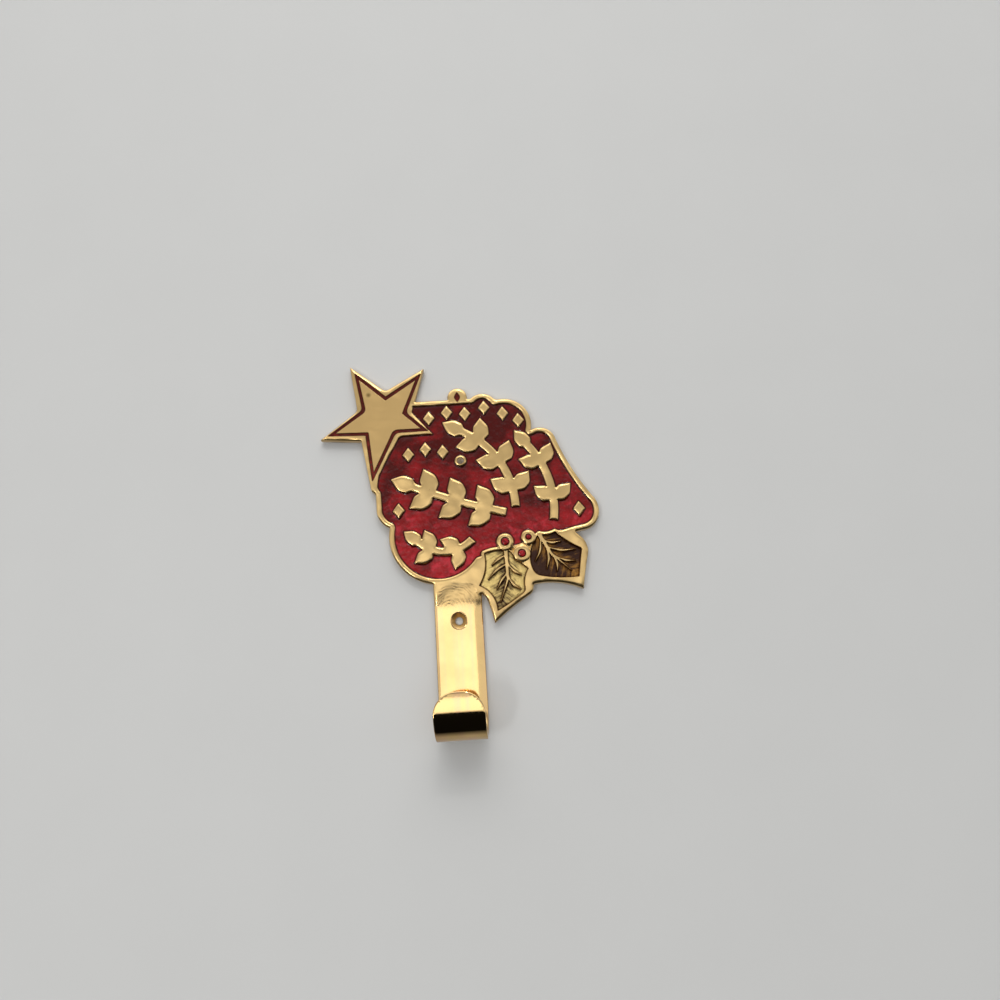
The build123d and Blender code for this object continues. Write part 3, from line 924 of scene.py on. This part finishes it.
def poured(name, level, floor, outlines, climb, slope=POUR_SLOPE):
    """Solid pour that creeps up the metal round it, or sinks beside it where the climb is negative."""
    spread = max(outlines, key=lambda outline: np.ptp(outline[:, 0]))
    plan, faces = sheet(outlines, [POUR_ROWS] * len(outlines), grid_points(spread, 2.4))
    distance = nearest(tree_of(np.vstack(outlines)), plan)[1]
    shell = Shell()
    marks = np.column_stack([distance, np.ones(len(plan)), np.zeros(len(plan))])
    shell.sheet(plan, faces, level + climb * np.exp(-distance / slope), marks)
    shell.sheet(*sheet(outlines, [()] * len(outlines), NO_POINTS), floor, FLOOR_MARKS, front=False)
    for outline in outlines:
        shell.wall(outline, level + climb, floor, FLOOR_MARKS)
    return shell.object(name)


Hollow = namedtuple("Hollow", "outline floor width height")


def hollows_of(pours, step, relief, climb):
    """Every hollow in the casting's front, with the brass on its left; the upper screw hole comes last."""
    hollows = []
    for name, level, loops in pours:
        roll = {
            "field_enamel": (relief, PLAQUE_LEVEL - level - climb),
            "star_enamel": FINE_ROLL,
            "tab_enamel": FINE_ROLL,
        }.get(name, LEAF_ROLL)
        hollows += [Hollow(loop[::-1], floor_of(name), *roll) for loop in loops]
    for name, (centre, radius) in zip(BERRY_NODES, berry_spots()):
        hollows.append(Hollow(circle(centre, radius, step)[::-1], floor_of(name), *FINE_ROLL))
    holes = [loop for loop in face_loops("brass_casting", 0.0) if np.ptp(loop[:, 0]) < 10]
    upper = max(holes, key=lambda loop: loop[:, 1].min())
    rim = circle((upper.min(0) + upper.max(0)) / 2, np.ptp(upper[:, 0]) / 2, step)
    return hollows + [Hollow(rim[::-1], 0.0, *FINE_ROLL)]


def loose_points(outline):
    """Points that fill the casting's front away from its edges, closer where it curves."""
    ramp = grid_points(outline, 0.8, low=5, high=STRAP_TOP)
    beside = grid_points(outline, 2.2, high=STRAP_TOP)
    loose = [
        grid_points(outline, 2.2, low=STRAP_TOP),
        grid_points(outline, 1.3, high=5),
        ramp[np.abs(ramp[:, 0]) < STRAP_HALF + 1],
        beside[np.abs(beside[:, 0]) > STRAP_HALF + 1],
    ]
    loose += [circle((0, 0), radius, 0.7) for radius in (2.5, 3.1, 3.7, 3.95, 4.1, 4.6, 5.4)]
    for centre, radius in berry_spots():
        loose += [circle(centre, radius + ring, 0.5) for ring in (0.5, 0.9, 1.4, 1.8, 2.1, 2.3, 2.45)]
    for a, b in zip(PLAQUE_FOOT[:FOOT_LEGS], PLAQUE_FOOT[1:]):
        side = np.array([a[1] - b[1], b[0] - a[0]]) / np.hypot(*(b - a))
        row = a + (b - a) * np.linspace(0, 1, 12)[:, None]
        loose += [row + side * shift for shift in (-0.6, -0.4, -0.2, 0, 0.2, 0.4, 0.6)]
    return np.vstack(loose)


class CastFront:
    """Front of the casting: its level and its marks at any plan points."""

    def __init__(self, outline, hollows, rim_roll, leaves, star):
        self.rim = tree_of(outline)
        self.hollow = tree_of(np.vstack([hollow.outline for hollow in hollows]))
        counts = [len(hollow.outline) for hollow in hollows]
        self.width = np.repeat([hollow.width for hollow in hollows], counts)
        self.height = np.repeat([hollow.height for hollow in hollows], counts)
        self.rim_roll = rim_roll
        self.leaves = leaves
        self.star = star

    def level(self, points):
        which, gap = nearest(self.hollow, points)
        level = brass_base(points, self.leaves) - rolled(nearest(self.rim, points)[1], *self.rim_roll)
        return level - rolled(gap, self.width[which], self.height[which])

    def marks(self, points):
        # The distance to an edge drives the brass's brown near its edges: patina with painted shade
        edge = np.minimum(nearest(self.hollow, points)[1], nearest(self.rim, points)[1] + 0.3)
        for leaf in self.leaves:
            edge = np.where(inside(points, leaf), 2.5 * edge, edge)
        x, z = points.T
        satin = np.where(np.abs(x) > STRAP_HALF + 0.6, 1.0, smooth((z - 4) / 7))
        satin = np.where(inside(points, self.star), STAR_SATIN, satin)
        seat = np.hypot(x, z) < COUNTERSINK
        edge, satin = np.where(seat, SEAT_EDGE, edge), np.where(seat, SEAT_SATIN, satin)
        return np.column_stack([edge, np.ones(len(points)), satin])


class OBJECT_OT_holder_casting(bpy.types.Operator):
    """Cast the brass: rolled rim, relief, veins, berry rings, screw holes and the bent hook"""
    bl_idname = "object.holder_casting"
    bl_label = "Brass casting"

    def execute(self, context):
        casting = context.scene.holder_casting
        step = in_mm(casting.step)
        rim_roll = in_mm(casting.rim_roll), in_mm(casting.rim_drop)
        back_roll = in_mm(casting.back_roll)
        outline = softened(flat_outline(), step)
        outline[:, 0] = np.minimum(outline[:, 0], CAD_BOX[1][0] / MM - 0.001)
        outline = on_grid(outline)
        lower_hole = circle((0, 0), LOWER_HOLE, step)[::-1]
        pours = pours_of(step)
        hollows = hollows_of(pours, step, in_mm(casting.relief_roll), in_mm(context.scene.holder_enamel.climb))
        groove = next(loops for name, _, loops in pours if name == "star_enamel")
        star = max(groove, key=lambda loop: np.ptp(loop[:, 0]))
        front = CastFront(outline, hollows, rim_roll, leaf_edges(step), star)

        offsets = [[share * rim_roll[0] for share in ROLL_ROWS], [0.5]]
        offsets += [[share * hollow.width for share in ROLL_ROWS] for hollow in hollows]
        outlines = [outline, lower_hole] + [hollow.outline for hollow in hollows]
        plan, faces = sheet(outlines, offsets, loose_points(outline))
        shell = Shell()
        shell.sheet(plan, faces, front.level(plan), front.marks(plan))
        back, base = sheet(
            [outline, lower_hole, hollows[-1].outline],
            [[share * back_roll for share in BACK_ROWS], (), ()],
            np.vstack([grid_points(outline, 5, low=-5), grid_points(outline, 1.3, high=-5)]),
        )
        buffed = smooth((BEND_TOP + 8 - back[:, 1]) / 8)
        marks = np.column_stack([np.full(len(back), BACK_EDGE), buffed, 1 - buffed])
        lifted = rolled(nearest(front.rim, back)[1], back_roll, back_roll)
        shell.sheet(back, base, lifted, marks, front=False)
        shell.wall(outline, front.level(outline), back_roll, RIM_MARKS)
        shell.wall(lower_hole, front.level(lower_hole), 0.0, WALL_MARKS)
        for hollow in hollows:
            shell.wall(hollow.outline, front.level(hollow.outline), hollow.floor, WALL_MARKS)
        floors = [(name, loops) for name, _, loops in pours]
        for name, (centre, radius) in zip(BERRY_NODES, berry_spots()):
            floors.append((name, [circle(centre, radius, step)]))
        for name, loops in floors:
            shell.sheet(*sheet(loops, [()] * len(loops), NO_POINTS), floor_of(name), FLOOR_MARKS)
        piece = shell.object("cast_brass_holder")
        apply_tree(piece, bend_tree(), {
            "Bend radius": BEND_RADIUS * MM, "Bend top": BEND_TOP * MM, "Lean": casting.lean,
            "Lip curl": casting.curl, "Material": brass_material(casting),
        })
        ready(piece, "brass", "brass_casting")
        return {"FINISHED"}


class OBJECT_OT_holder_field(bpy.types.Operator):
    """Pour the red enamel of the plaque's field"""
    bl_idname = "object.holder_field"
    bl_label = "Field enamel"

    def execute(self, context):
        enamel = context.scene.holder_enamel
        name, level, outlines = pours_of(in_mm(context.scene.holder_casting.step))[0]
        piece = poured("red_field_enamel", level, floor_of(name), outlines, in_mm(enamel.climb))
        piece.data.materials.append(
            enamel_material("Red glass enamel, poured", enamel.deep, enamel.bright, enamel.glow_and_painted_light, 13, 1.0)
        )
        ready(piece, "red_enamel", name)
        return {"FINISHED"}


class OBJECT_OT_holder_lines(bpy.types.Operator):
    """Fill the star's groove and the tab's mark with dark red enamel"""
    bl_idname = "object.holder_lines"
    bl_label = "Line enamel"

    def execute(self, context):
        enamel = context.scene.holder_enamel
        material = enamel_material(
            "Dark red enamel, wiped into lines", enamel.line_deep, enamel.line, enamel.line, 3, 0.3
        )
        for name, level, outlines in pours_of(in_mm(context.scene.holder_casting.step))[1:3]:
            piece = poured(name.replace("enamel", "line"), level, floor_of(name), outlines, LINE_CLIMB)
            piece.data.materials.append(material)
            ready(piece, "dark_red_enamel", name)
        return {"FINISHED"}


class OBJECT_OT_holder_leaves(bpy.types.Operator):
    """Lay the amber lacquer in the two leaves"""
    bl_idname = "object.holder_leaves"
    bl_label = "Leaf lacquer"

    def execute(self, context):
        enamel = context.scene.holder_enamel
        near, far = [sum(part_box(name), Vector()) / 2 for name in LEAF_NODES]
        finishes = (
            lacquer_material(
                "Olive-gold lacquer, brushed in", enamel.brown, enamel.gold,
                cover=0.45, run=1.1, middle=near, rib=(-0.15, 0.0, -0.99), slope=36,
            ),
            lacquer_material(
                "Amber-brown lacquer, brushed in", enamel.brown, enamel.amber,
                cover=0.36, run=0.8, middle=far, rib=(0.68, 0.0, -0.73), slope=-50,
            ),
        )
        leaves = pours_of(in_mm(context.scene.holder_casting.step))[3:]
        for (name, level, outlines), material in zip(leaves, finishes):
            title = name.replace("lacquer", "fill")
            piece = poured(title, level, floor_of(name), outlines, LEAF_CLIMB, LEAF_SLOPE)
            piece.data.materials.append(material)
            ready(piece, "leaf_lacquer", name)
        return {"FINISHED"}


class OBJECT_OT_holder_berries(bpy.types.Operator):
    """Set a domed drop of red enamel in each berry ring"""
    bl_idname = "object.holder_berries"
    bl_label = "Berry drops"

    def execute(self, context):
        enamel = context.scene.holder_enamel
        low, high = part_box(BERRY_NODES[0])
        shoulder = high.y - BERRY_ROOT * MM
        spots = berry_spots()
        mesh = bpy.data.meshes.new("berry_drops")
        mesh.from_pydata([(c[0] * MM, shoulder, c[1] * MM) for c, _ in spots], [], [])
        radius = mesh.attributes.new("radius", "FLOAT", "POINT")
        radius.data.foreach_set("value", np.array([r * MM for _, r in spots], dtype=np.float32))
        piece = bpy.data.objects.new("berry_drops", mesh)
        context.scene.collection.objects.link(piece)
        material = enamel_material(
            "Red glass enamel, in drops", enamel.deep, enamel.bright, enamel.glow_and_painted_light, 1.6, 0.8
        )
        apply_tree(piece, drops_tree(), {
            "Crown": shoulder - low.y, "Root": BERRY_ROOT * MM, "Material": material
        })
        place = np.empty(len(piece.data.vertices) * 3, dtype=np.float32)
        piece.data.vertices.foreach_get("co", place)
        plan = place.reshape(-1, 3)[:, [0, 2]] / MM
        inward = np.max([r - np.hypot(*(plan - c).T) for c, r in spots], axis=0)
        edge = piece.data.attributes.new("edge", "FLOAT", "POINT")
        edge.data.foreach_set("value", inward.astype(np.float32))
        ready(piece, "red_enamel", *BERRY_NODES)
        return {"FINISHED"}


class OBJECT_OT_holder_stage(bpy.types.Operator):
    """Set the surface behind the holder, the lights and the camera"""
    bl_idname = "object.holder_stage"
    bl_label = "Stage"

    def execute(self, context):
        scene = context.scene
        stage = scene.holder_stage
        self.surface(stage, scene)
        self.world(stage, scene)
        self.lights(stage, scene)
        camera = bpy.data.cameras.new("Camera")
        camera.lens = CAMERA_LENS
        camera.sensor_width = CAMERA_SENSOR
        camera.clip_start = 0.01
        viewer = bpy.data.objects.new("Camera", camera)
        scene.collection.objects.link(viewer)
        axes = Matrix((CAMERA_RIGHT, CAMERA_UP, CAMERA_RIGHT.cross(CAMERA_UP)))
        viewer.matrix_world = Matrix.Translation(CAMERA_PLACE) @ axes.transposed().to_4x4()
        scene.camera = viewer
        scene.view_settings.view_transform = "Standard"
        return {"FINISHED"}

    def surface(self, stage, scene):
        mesh = bpy.data.meshes.new("surface")
        size, depth = 3.0, 0.3 * MM
        corners = ((-size, -size), (size, -size), (size, size), (-size, size))
        mesh.from_pydata([(x, depth, z) for x, z in corners], [], [(0, 1, 2, 3)])
        plane = bpy.data.objects.new("surface", mesh)
        scene.collection.objects.link(plane)
        # Plain matt board, seen from the front only, so that the holder's back can be looked at too.
        material = bpy.data.materials.new("Pale matt board")
        tree = empty_tree(material)
        place = add(tree, "TexCoord", out="Object")
        cloud = add(tree, "TexNoise", {"Vector": place, "Scale": per_mm(60), "Detail": 2.0})
        shade = rgba([c * 0.96 for c in stage.surface])
        tint = add(tree, "Mix", {0: cloud, 6: shade, 7: rgba(stage.surface)}, 2, data_type="RGBA")
        board = add(tree, "BsdfPrincipled", {"Base Color": tint, "Roughness": 0.7})
        behind = add(tree, "NewGeometry", out="Backfacing")
        clear = add(tree, "BsdfTransparent")
        add(tree, "OutputMaterial", (add(tree, "MixShader", (behind, board, clear)),))
        mesh.materials.append(material)
        plane.visible_shadow = False
        plane.visible_diffuse = False
        plane.visible_glossy = False

    def world(self, stage, scene):
        # What the metal mirrors: a dark room below the camera, a bright band at its height, soft grey above,
        # and pale behind the holder.
        world = bpy.data.worlds.new("Studio")
        scene.world = world
        tree = empty_tree(world)
        toward = add(tree, "TexCoord", out="Generated")
        _, away, height = add(tree, "SeparateXYZ", (toward,)).node.outputs
        scaled = add(tree, "MapRange", (height, -1.0, 1.0))
        bands = add(tree, "ValToRGB", (scaled,))
        ramp = bands.node.color_ramp.elements
        while len(ramp) < len(ROOM_BANDS):
            ramp.new(0.5)
        for stop, (sine, bright) in zip(ramp, ROOM_BANDS):
            stop.position = (sine + 1) / 2
            stop.color = (bright, bright, bright, 1.0)
        behind = add(tree, "MapRange", (away, -0.1, 0.35))
        room = add(tree, "Mix", {0: behind, 6: bands, 7: (0.35, 0.35, 0.35, 1.0)}, 2, data_type="RGBA")
        lit = add(tree, "Background", (room, 1.0))
        pale = add(tree, "Background", (rgba(stage.beyond), 1.0))
        seen = add(tree, "LightPath", out="Is Camera Ray")
        add(tree, "OutputWorld", (add(tree, "MixShader", (seen, lit, pale)),))

    def lights(self, stage, scene):
        # The two large lamps light the board and the enamel; only the small ones show in the metal.
        middle = Vector((0.0, 0.0, 0.04))
        for name, place, size, strength, mirrored in (
            ("Ceiling", (0.0, -1.2, 1.5), (2.0, 1.2), stage.key, False),
            ("Fill", (0.2, -1.6, -0.7), (2.0, 1.0), stage.fill, False),
            ("Window", (-0.15, -1.3, 0.02), (0.46, 0.3), stage.window, True),
            ("Side window", (-0.62, -1.1, -0.28), (0.12, 0.35), stage.side, True),
            ("Spot", (0.1, -0.95, 1.1), (0.16, 0.06), stage.spot, True),
        ):
            light = bpy.data.lights.new(name, "AREA")
            light.shape = "RECTANGLE"
            light.size, light.size_y = size
            light.energy = strength
            lamp = bpy.data.objects.new(name, light)
            scene.collection.objects.link(lamp)
            lamp.location = place
            lamp.rotation_euler = (middle - Vector(place)).to_track_quat("-Z", "Y").to_euler()
            lamp.visible_glossy = mirrored


class VIEW3D_PT_holder(bpy.types.Panel):
    """Pieces of the stocking holder"""
    bl_label = "Stocking holder"
    bl_space_type = "VIEW_3D"
    bl_region_type = "UI"
    bl_category = "Holder"

    def draw(self, context):
        for group in GROUPS:
            box = self.layout.box()
            values = getattr(context.scene, group)
            for name in values.bl_rna.properties.keys():
                if name not in ("rna_type", "name"):
                    box.prop(values, name)
        for piece in PIECES:
            self.layout.operator(piece.bl_idname)


PIECES = (
    OBJECT_OT_holder_casting,
    OBJECT_OT_holder_field,
    OBJECT_OT_holder_lines,
    OBJECT_OT_holder_leaves,
    OBJECT_OT_holder_berries,
    OBJECT_OT_holder_stage,
)
GROUPS = {"holder_casting": HolderCasting, "holder_enamel": HolderEnamel, "holder_stage": HolderStage}


def register():
    for name, group in GROUPS.items():
        bpy.utils.register_class(group)
        setattr(bpy.types.Scene, name, PointerProperty(type=group))
    for piece in (*PIECES, VIEW3D_PT_holder):
        bpy.utils.register_class(piece)


def unregister():
    for piece in (VIEW3D_PT_holder, *PIECES):
        bpy.utils.unregister_class(piece)
    for name, group in GROUPS.items():
        delattr(bpy.types.Scene, name)
        bpy.utils.unregister_class(group)


def main():
    register()
    bpy.ops.object.holder_casting()
    bpy.ops.object.holder_field()
    bpy.ops.object.holder_lines()
    bpy.ops.object.holder_leaves()
    bpy.ops.object.holder_berries()
    bpy.ops.object.holder_stage()


if __name__ == "__main__":
    main()
